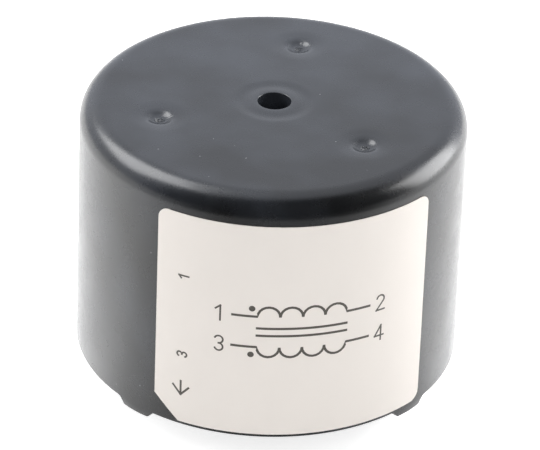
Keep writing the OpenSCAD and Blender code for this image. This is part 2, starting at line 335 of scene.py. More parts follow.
def placeCamera(settings):
    azimuth = math.radians(settings["azimuth"])
    elevation = math.radians(settings["elevation"])
    flat = math.cos(elevation)
    back = Vector((math.sin(azimuth) * flat, -math.cos(azimuth) * flat, math.sin(elevation)))
    place = Vector((0, 0, settings["targetZ"])) + settings["distance"] * back
    data = bpy.data.cameras.new("camera")
    data.lens = settings["lens"]
    data.sensor_width = settings["sensor"]
    data.clip_start = settings["clipStart"]
    camera = bpy.data.objects.new("camera", data)
    bpy.context.scene.collection.objects.link(camera)
    roll = Quaternion((0, 0, 1), math.radians(settings["roll"]))
    level = (-back).to_track_quat("-Z", "Y") @ roll
    aim = Vector((0, 0, settings["targetZ"])) - settings["aimDrop"] * (level @ Vector((0, 1, 0)))
    camera.location = place
    camera.rotation_mode = "QUATERNION"
    camera.rotation_quaternion = (aim - place).to_track_quat("-Z", "Y") @ roll
    bpy.context.scene.camera = camera


placeCamera(photoCamera)
bpy.context.scene.view_settings.view_transform = "Standard"

# Floor, backdrop and lights
studio = {
    "floorSize": 3.0,
    "floorColor": (0.86, 0.86, 0.86),
    "floorLift": 0.73,          # added for the camera, so that the floor outside the shadow is white
    "floorRoughness": 0.9,
    "ambient": 0.33,
    "glossTint": (0.95, 0.985, 1.075),      # colour in which gloss sees the room
    "glossBack": 1.08,          # what gloss sees of the lit room behind
    "glossFront": 0.04,         # and of the unlit room in front
    "shadeFull": -0.40,         # how far to the back the shade is full and ends
    "shadeEnd": 0.06,
    "rightShade": 0.5,          # how much farther to the back the shade reaches on the right
    "nearShade": (-0.95, -0.25, 0.76, 0.0),     # floor by the can: from full to no shade, and how full
    "farShade": (-0.75, 0.10, 0.96, 0.0),       # the same for the floor farther out
    "nearR": 75 * mm,
    "farR": 130 * mm,
    "glow": (28 * mm, 115 * mm, 1.0, 0.0),      # the lit floor close to the can, which only gloss sees
    "glowHole": (25 * mm, 28 * mm, 0.0, 1.0),   # there is none under the can
    "glowSide": (-0.1, 0.95, 1.0, 0.1),         # it fades to the back
    # a lamp with gloss shows only in reflections, and the others only light the surfaces
    "lamps": {
        "rightLamp": {"place": (0.788, 0.182, 0.310), "target": (0, 0, 0.036), "size": 0.62, "power": 9.0,
                      "gloss": True},
        "leftLamp": {"place": (-0.507, 0.258, 0.668), "target": (0, 0, 0.036), "size": 0.60, "power": 6.2,
                     "gloss": True},
        "frontLamp": {"place": (0.30, -0.90, 0.70), "target": (0, 0, 0.02), "size": 0.80, "power": 4.1,
                      "gloss": False},
        "leftFill": {"place": (-0.75, 0.15, 0.42), "target": (0, 0, 0.02), "size": 0.45, "power": 3.0,
                     "gloss": False},
        "rightWash": {"place": (0.52, 0.22, 0.35), "target": (0.42, 0.08, 0), "size": 0.30, "power": 4.1,
                      "gloss": False},
        "leftWash": {"place": (-0.40, 0.30, 0.50), "target": (-0.22, 0.08, 0), "size": 0.40, "power": 2.7,
                     "gloss": False},
    },
}


def seenByCamera(owner):
    # 1 for what the camera sees by itself, in a reflection or through a clear piece
    path = addNode(owner, "LightPath").outputs
    total = path["Is Camera Ray"]
    for name in ("Is Glossy Ray", "Is Transmission Ray"):
        total = combine(owner, total, path[name], "MAXIMUM")
    return total


def makeFloor(settings, height):
    deselectAll()
    bpy.ops.mesh.primitive_plane_add(size=settings["floorSize"], location=(0, 0, height))
    floor = startPiece("floor")
    bakePlace(floor)
    material, shader = newMaterial("paleFloor", settings["floorColor"], settings["floorRoughness"])
    place = objectPlace(material)
    back = xyParts(material, vectorMath(material, place, "NORMALIZE"))[1]
    length = vectorMath(material, place, "LENGTH")
    gloss = addNode(material, "LightPath").outputs["Is Glossy Ray"]

    glow = combine(material, spread(material, length, *settings["glow"]),
                   spread(material, back, *settings["glowSide"]), "MULTIPLY")
    glow = combine(material, glow, spread(material, length, *settings["glowHole"]), "MULTIPLY")
    glow = combine(material, glow, gloss, "MULTIPLY")
    strength = combine(material, seenByCamera(material), settings["floorLift"], "MULTIPLY")
    lift = addNode(material, "Emission")
    wire(material, combine(material, strength, glow, "ADD"), lift.inputs["Strength"])
    both = addNode(material, "AddShader")
    wire(material, shader.outputs[0], both.inputs[0])
    wire(material, lift.outputs[0], both.inputs[1])

    # gloss sees the floor go dark towards the unlit side of the room, and darker farther out
    away = spread(material, length, settings["nearR"], settings["farR"])
    far = combine(material, spread(material, back, *settings["farShade"]), away, "MULTIPLY")
    shade = combine(material, spread(material, back, *settings["nearShade"]), far, "MAXIMUM")
    dark = addNode(material, "Emission", Strength=0)
    choice = addNode(material, "MixShader")
    wire(material, combine(material, shade, gloss, "MULTIPLY"), choice.inputs["Fac"])
    wire(material, both.outputs[0], choice.inputs[1])
    wire(material, dark.outputs[0], choice.inputs[2])
    wire(material, choice.outputs[0], material.node_tree.nodes["Material Output"].inputs["Surface"])
    floor.data.materials.append(material)


def makeWorld(settings):
    world = bpy.data.worlds.new("studio")
    bpy.context.scene.world = world
    world.use_nodes = True
    background = world.node_tree.nodes["Background"]
    strength = spread(world, seenByCamera(world), 0, 1, settings["ambient"], 1)
    # the room is unlit in front of the object, which only gloss sees
    right, back = xyParts(world, addNode(world, "TexCoord").outputs["Generated"])
    onRight = combine(world, right, 0, "MAXIMUM")
    moved = combine(world, back, combine(world, onRight, settings["rightShade"], "MULTIPLY"), "SUBTRACT")
    front = spread(world, moved, settings["shadeFull"], settings["shadeEnd"],
                   settings["glossFront"], settings["glossBack"], "SMOOTHSTEP")
    gloss = addNode(world, "LightPath").outputs["Is Glossy Ray"]
    choice = addNode(world, "Mix", data_type="FLOAT")
    wire(world, gloss, choice.inputs["Factor"])
    wire(world, strength, choice.inputs["A"])
    wire(world, front, choice.inputs["B"])
    wire(world, choice.outputs["Result"], background.inputs["Strength"])
    wire(world, mixColors(world, gloss, (1, 1, 1), settings["glossTint"]), background.inputs["Color"])


def makeLamps(settings):
    for name, lamp in settings["lamps"].items():
        data = bpy.data.lights.new(name, "AREA")
        data.size = lamp["size"]
        data.energy = lamp["power"]
        obj = bpy.data.objects.new(name, data)
        obj.location = lamp["place"]
        toTarget = Vector(lamp["target"]) - obj.location
        obj.rotation_euler = toTarget.to_track_quat("-Z", "Y").to_euler()
        obj.visible_camera = False
        obj.visible_glossy = lamp["gloss"]
        obj.visible_diffuse = not lamp["gloss"]
        bpy.context.scene.collection.objects.link(obj)


makeFloor(studio, cadBox[0][2])
makeWorld(studio)
makeLamps(studio)
print("camera, floor and lights placed")

# Moulded can: wall, rounded edge, top with the sunk ring, tube, fins, ledges and feet
can = {
    "steps": 288,
    "edgeSteps": 18,
    "innerSteps": 6,
    "sinkSteps": 14,
    "holeEdgeSteps": 4,
    "smoothAngle": 32,          # degrees, faces that meet at less are shaded as one
    "rimR": 25.5 * mm,
    "cavityR": 24.0 * mm,
    "rimZ": 1.0 * mm,
    "topZ": 36.5 * mm,
    "cavityTop": 34.9 * mm,
    "edgeR": 3.0 * mm,
    "innerR": 1.5 * mm,
    "draft": math.radians(0.3),
    "holeR": 2.2 * mm,
    "holeEdgeR": 0.1 * mm,
    "tubeR": 4.4 * mm,
    "sinkIn": 2.55 * mm,        # ring that sinks over the tube as the plastic cools
    "sinkOut": 5.6 * mm,
    "sinkDepth": 0.10 * mm,
    "supportGap": 0.35 * mm,    # flat ring that keeps the shading of flat faces even
    "footW": 5.9 * mm,
    "footSlopeW": 0.85 * mm,
    "footEdgeR": 0.12 * mm,
    "footEdgeSteps": 2,
    "footTurn": 45,             # degrees, the feet stand half way between the axes
    "sharpAngle": 30,           # degrees, edges of the rim sharper than this are rounded
    "downNormal": -0.9,         # a face with a normal below this looks down
    "finT": 1.6 * mm,
    "finR": 10.0 * mm,
    "finRoot": 0.6,             # where a fin begins, in parts of the tube's radius
    "finLow": 10.7 * mm,
    "finTurns": (0, 180),
    "ledgeW": 2.0 * mm,
    "ledgeIn": 23.2 * mm,
    "ledgeLow": 6.0 * mm,
    "ledgeRoot": 0.2 * mm,
    "ledgeTurns": (45, 135, 225, 315),
    "rootZ": 35.7 * mm,
}


def leanAt(rimR, z):
    return rimR - (z - can["rimZ"]) * math.tan(can["draft"])


def sinkAt(r):
    share = (r - can["sinkIn"]) / (can["sinkOut"] - can["sinkIn"])
    if share <= 0 or share >= 1:
        return 0.0
    return can["sinkDepth"] * (1 - math.cos(fullTurn * share)) / 2


def roundedEdge(rimR, top, radius, steps):
    # arc from the leaning wall to the flat top
    low = top - radius
    middle = leanAt(rimR, low) - radius / math.cos(can["draft"])
    return arcPoints((middle, low), radius, math.degrees(can["draft"]), 90, steps)


def canOutline():
    outer = roundedEdge(can["rimR"], can["topZ"], can["edgeR"], can["edgeSteps"])
    inner = roundedEdge(can["cavityR"], can["cavityTop"], can["innerR"], can["innerSteps"])
    gap = can["supportGap"]
    lowWall = can["rimZ"] + gap
    highWall = outer[0][1] - gap
    points = [(can["rimR"], can["rimZ"]), (leanAt(can["rimR"], lowWall), lowWall)]
    points += [(leanAt(can["rimR"], highWall), highWall)] + outer
    points += [(outer[-1][0] - gap, can["topZ"]), (can["sinkOut"] + gap, can["topZ"])]
    for i in range(can["sinkSteps"] + 1):
        r = can["sinkOut"] + (can["sinkIn"] - can["sinkOut"]) * i / can["sinkSteps"]
        points.append((r, can["topZ"] - sinkAt(r)))
    edge = can["holeEdgeR"]
    points += arcPoints((can["holeR"] + edge, can["topZ"] - edge), edge, 90, 180, can["holeEdgeSteps"])
    points += [(can["holeR"], edge), (can["holeR"] + edge, 0)]
    points += [(can["tubeR"] - edge, 0), (can["tubeR"], edge), (can["tubeR"], can["cavityTop"])]
    points += list(reversed(inner)) + [(can["cavityR"], can["rimZ"]), points[0]]
    return points


def addFeet(obj):
    half = can["footW"] / 2
    rim = can["rimZ"]
    isRim = lambda c, n: abs(c.z - rim) < mergeGap and n.z < can["downNormal"]
    for normal in ((1, 0, 0), (0, 1, 0)):
        for side in (-half, half):
            selectFaces(obj, isRim)
            place = tuple(side * n for n in normal)
            bpy.ops.mesh.bisect(plane_co=place, plane_no=normal)
            editOff()
    slope = 1 - can["footSlopeW"] / half
    for across, scale in ((1, (1, slope, 1)), (0, (slope, 1, 1))):
        selectFaces(obj, lambda c, n: isRim(c, n) and abs(c[across]) < half)
        bpy.ops.mesh.extrude_region_move(TRANSFORM_OT_translate={"value": (0, 0, -rim)})
        bpy.ops.transform.resize(value=scale, center_override=(0, 0, 0))
        editOff()
    editOn(obj)
    bpy.ops.mesh.select_all(action="SELECT")
    turn = math.radians(can["footTurn"])
    bpy.ops.transform.rotate(value=turn, orient_axis="Z", center_override=(0, 0, 0))
    editOff()


def roundRim(obj):
    # every sharp edge of the rim and the feet, and none of the tube
    limit = can["rimZ"] + mergeGap
    editOn(obj, "EDGE")
    bpy.ops.mesh.select_all(action="DESELECT")
    bpy.ops.mesh.edges_select_sharp(sharpness=math.radians(can["sharpAngle"]))
    editOff()
    points = obj.data.vertices
    for edge in obj.data.edges:
        ends = [points[i].co for i in edge.vertices]
        outside = all(p.z < limit and p.xy.length > can["tubeR"] * 2 for p in ends)
        edge.select = edge.select and outside
    bpy.ops.object.mode_set(mode="EDIT")
    bpy.ops.mesh.bevel(offset=can["footEdgeR"], segments=can["footEdgeSteps"], affect="EDGES")
    editOff()


def addBlock(low, high, turn):
    size = [b - a for a, b in zip(low, high)]
    deselectAll()
    middle = Vector([(a + b) / 2 for a, b in zip(low, high)])
    bpy.ops.mesh.primitive_cube_add(size=1, location=middle)
    block = bpy.context.active_object
    block.scale = size
    bakePlace(block)
    block.rotation_euler = (0, 0, math.radians(turn))
    bakePlace(block)
    return block


def innerWalls():
    half = can["finT"] / 2
    finIn = can["finRoot"] * can["tubeR"]
    blocks = [addBlock((-half, finIn, can["finLow"]), (half, can["finR"], can["rootZ"]), turn)
              for turn in can["finTurns"]]
    side = can["ledgeW"] / 2
    outer = can["cavityR"] + can["ledgeRoot"]
    blocks += [addBlock((can["ledgeIn"], -side, can["ledgeLow"]), (outer, side, can["rootZ"]), turn)
               for turn in can["ledgeTurns"]]
    return joinPieces(blocks, "innerWalls")


# Dimples in the top, where the mould's gates broke off
dimple = {
    "count": 3,
    "ringR": 15.55 * mm,
    "firstTurn": 75,
    "openR": 4.2 * mm,
    "steps": 48,
    "cutDepth": 0.8 * mm,
    "lipSlack": 0.02 * mm,
    # radius of a ring and its depth in mm, from the flat face down the dish and up the broken gate
    "rings": ((3.9, 0.004), (3.5, 0.018), (3.1, 0.045), (2.7, 0.078), (2.4, 0.104), (2.22, 0.126),
              (2.06, 0.153), (1.9, 0.19), (1.77, 0.228), (1.66, 0.272), (1.55, 0.327), (1.42, 0.40),
              (1.28, 0.478), (1.1, 0.56), (0.92, 0.62), (0.75, 0.65), (0.62, 0.648), (0.52, 0.61),
              (0.43, 0.55), (0.3, 0.51), (0.15, 0.50)),
    "roughR": 0.70 * mm,        # the broken gate is uneven inside this radius
    "roughHeight": 0.024 * mm,
    "seed": 11,
}


def addDimples(obj):
    dice = random.Random(dimple["seed"])
    top = can["topZ"]
    tools = []
    centres = []
    for i in range(dimple["count"]):
        turn = math.radians(dimple["firstTurn"] + i * 360 / dimple["count"])
        centres.append(Vector((dimple["ringR"] * math.cos(turn), dimple["ringR"] * math.sin(turn), top)))
        deselectAll()
        bpy.ops.mesh.primitive_cylinder_add(vertices=dimple["steps"], radius=dimple["openR"],
                                            depth=2 * dimple["cutDepth"], location=centres[-1])
        bakePlace(bpy.context.active_object)
        tools.append(bpy.context.active_object)
    cutWith(obj, joinPieces(tools, "dimpleTools"), "DIFFERENCE")
    reach = dimple["openR"] + mergeGap
    low = top - dimple["cutDepth"] - mergeGap
    for centre in centres:
        flat = centre.xy
        isTool = lambda c, n: (c.xy - flat).length < reach and low < c.z < top - mergeGap
        selectFaces(obj, isTool)
        bpy.ops.mesh.delete(type="FACE")
        editOff()
        isRing = lambda p: abs((p.xy - flat).length - dimple["openR"]) < dimple["lipSlack"]
        onLip = lambda p: isRing(p) and abs(p.z - top) < mergeGap
        selectEdges(obj, lambda a, b: onLip(a) and onLip(b))
        bpy.ops.mesh.select_mode(type="EDGE")
        lastR, lastDepth = dimple["openR"], 0.0
        for ringR, depth in dimple["rings"]:
            ringR, depth = ringR * mm, depth * mm
            bpy.ops.mesh.extrude_edges_move(TRANSFORM_OT_translate={"value": (0, 0, lastDepth - depth)})
            share = ringR / lastR
            middle = (centre.x, centre.y, top - depth)
            bpy.ops.transform.resize(value=(share, share, 1), center_override=middle)
            lastR, lastDepth = ringR, depth
        bpy.ops.mesh.merge(type="CENTER")
        editOff()
        for point in obj.data.vertices:
            inside = (point.co.xy - flat).length
            if inside < dimple["roughR"] and top - dimple["cutDepth"] < point.co.z < top:
                point.co.z += dimple["roughHeight"] * dice.uniform(-1, 1)


def makeCan():
    obj = latheOutline("can_shell", canOutline(), can["steps"])
    addFeet(obj)
    roundRim(obj)
    cutWith(obj, innerWalls(), "UNION")
    addDimples(obj)
    smoothEdges(obj, can["smoothAngle"])
    return obj


canShell = makeCan()
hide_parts("housing")
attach(canShell, "root")
print("can modelled")

canFinish = {
    "color": (0.013, 0.0145, 0.0165),
    "roughness": 0.27,
    "ior": 1.6,
    "grain": (0.16 * mm, 3.0, 0.6),         # size, detail and roughness of a noise
    "waves": (9 * mm, 1.0),
    "waveShare": 1.5,
    "bump": 0.004 * mm,
    "patches": (4 * mm, 4.0, 0.6),
    "roughLimits": (0.3, 0.7, 0.24, 0.30),  # from the noise's values to roughness
    "cloudsAndPaintedLight": (10 * mm, 2.0),
    "paintedLightToBack": (-20 * mm, 20 * mm, -0.16, 0.16),   # painted light and shade: the colour grows lighter to the back and darker to the front
    "cloudAndLightLimits": (0.26, 0.74),
    "tones": ((0.005, 0.0055, 0.0062), (0.030, 0.034, 0.042)),
    "specks": 3 * mm,
    "speckLimits": (0.036, 0.016),
    "speckColor": (0.26, 0.265, 0.28),
}


def canPlastic(look):
    material, shader = newMaterial("satinBlackPlastic", look["color"], look["roughness"], IOR=look["ior"])
    place = objectPlace(material)
    grain = noise(material, place, *look["grain"])
    waves = combine(material, noise(material, place, *look["waves"]), look["waveShare"], "MULTIPLY")
    addBump(material, shader, combine(material, grain, waves, "ADD"), look["bump"])
    addRoughness(material, shader, noise(material, place, *look["patches"]), look["roughLimits"])
    # painted light and shade: the tone turns lighter towards the back of the can and darker towards the
    # front, added to the random clouds
    paintedLightToBack = spread(material, xyParts(material, place)[1], *look["paintedLightToBack"])
    cloudsAndPaintedLight = combine(material, noise(material, place, *look["cloudsAndPaintedLight"]), paintedLightToBack, "ADD")
    toneWithPaintedLight = mixColors(material, spread(material, cloudsAndPaintedLight, *look["cloudAndLightLimits"]), *look["tones"])
    specks = addNode(material, "TexVoronoi", Scale=1 / look["specks"])
    wire(material, place, specks.inputs["Vector"])
    dust = spread(material, specks.outputs["Distance"], *look["speckLimits"])
    addTone(material, shader, dust, toneWithPaintedLight, look["speckColor"])
    return material


canShell.data.materials.append(canPlastic(canFinish))

# Label: a film wrapped round the leaning wall
label = {
    "width": 38.1 * mm,
    "shift": 2.4 * mm,          # how far its middle lies to the right of the front line
    "low": 1.5 * mm,
    "high": 32.8 * mm,
    "cornerR": 1.5 * mm,
    "cornerSteps": 8,
    "cutW": 3.6 * mm,
    "cutH": 3.2 * mm,
    "glue": 0.03 * mm,
    "thickness": 0.09 * mm,
    "column": 0.6 * mm,         # width of the strips that it bends in
    "smoothAngle": 30,
}


def wrapOnWall(obj, lift):
    # the flat sheet lies in XY: x runs round the wall from the front line, y is the height over the rim
    for point in obj.data.vertices:
        x, y, out = point.co
        z = can["rimZ"] + y
        radius = leanAt(can["rimR"], z) + lift + out
        turn = x / can["rimR"]
        point.co = (radius * math.sin(turn), -radius * math.cos(turn), z)


def sliceColumns(obj, step):
    xs = [point.co.x for point in obj.data.vertices]
    x = min(xs) + step
    while x < max(xs) - step / 4:
        editOn(obj)
        bpy.ops.mesh.select_all(action="SELECT")
        bpy.ops.mesh.bisect(plane_co=(x, 0, 0), plane_no=(1, 0, 0))
        editOff()
        x += step


def makeLabel():
    low = label["low"] - can["rimZ"]
    high = label["high"] - can["rimZ"]
    left = label["shift"] - label["width"] / 2
    deselectAll()
    middle = (label["shift"], (low + high) / 2, 0)
    bpy.ops.mesh.primitive_plane_add(size=1, location=middle)
    obj = startPiece("side_label")
    obj.scale = (label["width"], high - low, 1)
    bakePlace(obj)
    isCut = lambda p: p.x < label["shift"] and p.y < middle[1]
    selectPoints(obj, lambda p: not isCut(p))
    bpy.ops.mesh.bevel(offset=label["cornerR"], segments=label["cornerSteps"], affect="VERTICES")
    bpy.ops.mesh.select_all(action="SELECT")
    outward = Vector((-label["cutH"], -label["cutW"], 0)).normalized()
    bpy.ops.mesh.bisect(plane_co=(left + label["cutW"], low, 0), plane_no=outward, clear_outer=True)
    editOff()
    sliceColumns(obj, label["column"])
    wrapOnWall(obj, label["glue"])
    applyModifier(obj, "SOLIDIFY", thickness=label["thickness"], offset=1)
    smoothEdges(obj, label["smoothAngle"])
    return obj


sideLabel = makeLabel()
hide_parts("label")
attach(sideLabel, "root")

filmFinish = {
    "color": (0.875, 0.823, 0.774),
    "roughness": 0.5,
    "fibre": (0.25 * mm, 3.0, 0.6),
    "bump": (0.003 * mm, 0.6),      # distance and strength
    "blotches": (6 * mm, 3.0),
    "tones": ((0.86, 0.809, 0.761), (0.89, 0.837, 0.787)),
}


def labelPaper(look):
    material, shader = newMaterial("whiteLabelFilm", look["color"], look["roughness"])
    place = objectPlace(material)
    addBump(material, shader, noise(material, place, *look["fibre"]), *look["bump"])
    addTone(material, shader, noise(material, place, *look["blotches"]), *look["tones"])
    return material


sideLabel.data.materials.append(labelPaper(filmFinish))
print("label modelled")

# Print on the label: plain numbers, an arrow and a wiring symbol
ink = {
    "proud": 0.010 * mm,
    # lengths from here on are in mm, from the label's left edge and the rim
    "line": 0.24,
    "turned": ((3.95, 22.7, "1"), (3.95, 10.9, "3")),       # numbers read from the right
    "turnedH": 1.35,
    "turnedBy": 90,
    "arrow": {"x": 3.9, "tip": 4.7, "tail": 6.75, "headHalf": 1.1, "headH": 1.25, "line": 0.28},
    "symbol": {"x": 19.6, "y": 16.2, "coilR": 1.45, "loops": 4, "loopSteps": 10, "apart": 4.6,
               "coreHalf": 0.55, "lead": 3.2, "line": 0.34, "numberH": 2.2, "numberGap": 1.7,
               "dotR": 0.42, "dotSteps": 20,
               "dotOut": 0.5, "dotUp": 0.8},        # the dot's place, in parts of coilR
}
# strokes of the numbers, in parts of their height, with the radius of the round ones
bowl = 0.25
bowlSteps = 14
numberStrokes = {
    "1": [[(-0.24, 0.27), (0.04, 0.5)], [(0.04, 0.5), (0.04, -0.5)]],
    "2": [arcPoints((0, 0.5 - bowl), bowl, 165, -40, bowlSteps) + [(-0.27, -0.5)],
          [(-0.27, -0.5), (0.28, -0.5)]],
    "3": [arcPoints((0, 0.5 - bowl), bowl, 155, -90, bowlSteps),
          arcPoints((0, bowl - 0.5), bowl, 90, -155, bowlSteps)],
    "4": [[(0.12, -0.5), (0.12, 0.5)], [(0.12, 0.5), (-0.3, -0.2)], [(-0.3, -0.2), (0.3, -0.2)]],
}


def flatLine(points, width, name):
    # quads on both sides of a line through points in XY, in mm, with square ends
    half = width / 2
    points = [Vector(point) for point in points]
    points[0] = points[0] - half * (points[1] - points[0]).normalized()
    points[-1] = points[-1] + half * (points[-1] - points[-2]).normalized()
    sides = []
    for i, here in enumerate(points):
        along = (points[min(i + 1, len(points) - 1)] - points[max(i - 1, 0)]).normalized()
        across = Vector((-along.y, along.x)) * half
        sides.append((here + across, here - across))
    corners = [(p.x * mm, p.y * mm, 0) for pair in sides for p in pair]
    faces = [(2 * i, 2 * i + 1, 2 * i + 3, 2 * i + 2) for i in range(len(points) - 1)]
    mesh = bpy.data.meshes.new(name)
    mesh.from_pydata(corners, [], faces)
    obj = bpy.data.objects.new(name, mesh)
    bpy.context.scene.collection.objects.link(obj)
    return obj


def flatNumber(text, x, y, height, width, turn=0):
    across = math.cos(math.radians(turn)) * height
    up = math.sin(math.radians(turn)) * height
    lines = [[(x + px * across - py * up, y + px * up + py * across) for px, py in stroke]
             for stroke in numberStrokes[text]]
    return [flatLine(line, width, "number") for line in lines]


def flatDisc(x, y, radius, steps):
    deselectAll()
    bpy.ops.mesh.primitive_circle_add(vertices=steps, radius=radius * mm, fill_type="NGON",
                                      location=(x * mm, y * mm, 0))
    obj = bpy.context.active_object
    bakePlace(obj)
    return obj


def arrowMarks():
    arrow = ink["arrow"]
    x, tip, half = arrow["x"], arrow["tip"], arrow["headHalf"]
    head = [(x - half, tip + arrow["headH"]), (x, tip), (x + half, tip + arrow["headH"])]
    return [flatLine([(x, arrow["tail"]), (x, tip)], arrow["line"], "shaft"),
            flatLine(head[:2], arrow["line"], "headLeft"), flatLine(head[1:], arrow["line"], "headRight")]


def coilMarks(side):
    # one winding: half loops in a row, a lead at each end, its numbers and the dot of its start
    symbol = ink["symbol"]
    radius = symbol["coilR"]
    y = symbol["y"] + side * symbol["apart"] / 2
    left = symbol["x"] - radius * symbol["loops"]
    right = symbol["x"] + radius * symbol["loops"]
    points = [(left - symbol["lead"], y)]
    for loop in range(symbol["loops"]):
        middle = left + (2 * loop + 1) * radius
        for i in range(symbol["loopSteps"] + 1):
            turn = math.pi * (1 - i / symbol["loopSteps"])
            points.append((middle + radius * math.cos(turn), y + side * radius * math.sin(turn)))
    points.append((right + symbol["lead"], y))
    first = "1" if side > 0 else "3"
    last = "2" if side > 0 else "4"
    away = symbol["lead"] + symbol["numberGap"]
    marks = [flatLine(points, symbol["line"], "winding"),
             flatDisc(left - radius * symbol["dotOut"], y + side * radius * symbol["dotUp"],
                      symbol["dotR"], symbol["dotSteps"])]
    marks += flatNumber(first, left - away, y, symbol["numberH"], ink["line"])
    return marks + flatNumber(last, right + away, y, symbol["numberH"], ink["line"])


def coreMarks():
    symbol = ink["symbol"]
    half = symbol["coilR"] * symbol["loops"]
    return [flatLine([(symbol["x"] - half, symbol["y"] + shift), (symbol["x"] + half, symbol["y"] + shift)],
                     symbol["line"], "core") for shift in (-symbol["coreHalf"], symbol["coreHalf"])]


def makePrint():
    marks = arrowMarks() + coilMarks(1) + coilMarks(-1) + coreMarks()
    for x, y, text in ink["turned"]:
        marks += flatNumber(text, x, y, ink["turnedH"], ink["line"], ink["turnedBy"])
    obj = joinPieces(marks, "label_print")
    left = label["shift"] - label["width"] / 2
    moveAll(obj, (left, 0, 0))
    sliceColumns(obj, label["column"])
    wrapOnWall(obj, label["glue"] + label["thickness"])
    applyModifier(obj, "SOLIDIFY", thickness=ink["proud"], offset=1)
    return obj


labelPrint = makePrint()
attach(labelPrint, "root")

inkFinish = {
    "color": (0.09, 0.08, 0.068),
    "roughness": 0.45,
    "blotches": (0.12 * mm, 2.0),
    "tones": ((0.075, 0.067, 0.056), (0.12, 0.108, 0.092)),
}


def printInk(look):
    material, shader = newMaterial("darkPrint", look["color"], look["roughness"])
    place = objectPlace(material)
    addTone(material, shader, noise(material, place, *look["blotches"]), *look["tones"])
    return material


labelPrint.data.materials.append(printInk(inkFinish))
print("print on the label modelled")

# Windings: enamelled wire round the cased core, the same path as the frame's
coil = {
    "wireR": 0.75 * mm,
    "turnGap": 0.45 * mm,
    "apart": 5.5 * mm,          # between the two windings in the bore
    "caseBoreR": 11.6 * mm,
    "caseR": 20.9 * mm,
    "fitGap": 0.05 * mm,
    "caseEdgeR": 1.0 * mm,
    "leadBendR": 1.5 * mm,
    "lowZ": 9.9 * mm,
    "topZ": 33.3 * mm,
    "leadZ": 7.9 * mm,
    "faceZ": 2.8 * mm,          # the resin's lower face, where the tinned ends begin
    "pinX": 7.5 * mm,
    "pinY": 12.5 * mm,
    "bendSteps": 8,
    "roundness": 3,             # of the wire's section
    "smoothAngle": 60,
}


def coilCorners():
    inner = coil["caseBoreR"] - coil["fitGap"] - coil["wireR"]
    outer = coil["caseR"] + coil["fitGap"] + coil["wireR"]
    pitch = 2 * math.asin((2 * coil["wireR"] + coil["turnGap"]) / 2 / inner)
    least = math.asin((coil["apart"] + 2 * coil["wireR"]) / 2 / inner)
    turns = math.floor((math.pi - 2 * least) / pitch + 0.5)
    # the row of turns is centred on the X axis and begins at the front
    start = 1.5 * math.pi - (math.pi - (turns - 0.5) * pitch) / 2

    def leg(radius, k, z):
        turn = start - k * pitch
        return Vector((radius * math.cos(turn), radius * math.sin(turn), z))

    def pinPoint(side, height):
        return Vector((-coil["pinX"], side * coil["pinY"], height))

    corners = [pinPoint(-1, coil["faceZ"]), pinPoint(-1, coil["leadZ"]), leg(inner, 0, coil["leadZ"])]
    for k in range(turns):
        if k > 0:
            corners += [leg(outer, k - 0.5, coil["lowZ"]), leg(inner, k, coil["lowZ"])]
        corners += [leg(inner, k, coil["topZ"]), leg(outer, k + 0.5, coil["topZ"])]
    corners += [leg(outer, turns - 0.5, coil["leadZ"]), pinPoint(1, coil["leadZ"])]
    corners.append(pinPoint(1, coil["faceZ"]))
    return corners


def bendCorners(corners):
    coilBendR = coil["caseEdgeR"] + coil["fitGap"] + coil["wireR"]
    points = [corners[0]]
    last = len(corners) - 1
    for i in range(1, last):
        isLead = i <= 2 or i >= last - 2
        radius = coil["leadBendR"] if isLead else coilBendR
        come = (corners[i] - corners[i - 1]).normalized()
        leave = (corners[i + 1] - corners[i]).normalized()
        for j in range(coil["bendSteps"] + 1):
            turn = math.pi / 2 * j / coil["bendSteps"]
            bent = leave - come + math.sin(turn) * come - math.cos(turn) * leave
            points.append(corners[i] + radius * bent)
    return points + [corners[-1]]


def makeWinding(name, side):
    points = bendCorners(coilCorners())
    curve = bpy.data.curves.new(name, "CURVE")
    curve.dimensions = "3D"
    curve.bevel_depth = coil["wireR"]
    curve.bevel_resolution = coil["roundness"]
    curve.use_fill_caps = True
    spline = curve.splines.new("POLY")
    spline.points.add(len(points) - 1)
    for target, point in zip(spline.points, points):
        target.co = (side * point.x, point.y, point.z, 1)
    obj = bpy.data.objects.new(name, curve)
    bpy.context.scene.collection.objects.link(obj)
    pickOnly(obj)
    bpy.ops.object.convert(target="MESH")
    obj = startPiece(name)
    editOn(obj)
    mergeAll()
    faceOut()
    editOff()
    smoothEdges(obj, coil["smoothAngle"])
    return obj


wireFinish = {
    "color": (0.55, 0.17, 0.05),
    "roughness": 0.28,
    "coat": {"Coat_Weight": 0.6, "Coat_Roughness": 0.08, "Coat_IOR": 1.6},
    "blotches": (5 * mm, 3.0),
    "tones": ((0.50, 0.145, 0.04), (0.62, 0.22, 0.075)),
    "ripple": (0.8 * mm, 2.0),
    "bump": (0.01 * mm, 0.5),
}


def enamel(look):
    material, shader = newMaterial("enamelledCopper", look["color"], look["roughness"], Metallic=1.0,
                                   **look["coat"])
    place = objectPlace(material)
    addTone(material, shader, noise(material, place, *look["blotches"]), *look["tones"])
    addBump(material, shader, noise(material, place, *look["ripple"]), *look["bump"])
    return material


enamelMaterial = enamel(wireFinish)
for name, node, side in (("left_winding", "winding_1", 1), ("right_winding", "winding_2", -1)):
    winding = makeWinding(name, side)
    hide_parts(node)
    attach(winding, "root")
    winding.data.materials.append(enamelMaterial)
print("windings modelled")

# Terminals: tinned ends of the wires, with tips rounded by the solder
pin = {
    "radius": coil["wireR"],
    "top": coil["faceZ"],
    "tip": -4.5 * mm,
    "sides": 32,
    "smoothAngle": 40,
    # height over the tip in mm and share of the radius
    "rounding": ((0.02, 0.30), (0.07, 0.55), (0.16, 0.76), (0.30, 0.91), (0.50, 0.98), (0.80, 1.0)),
}


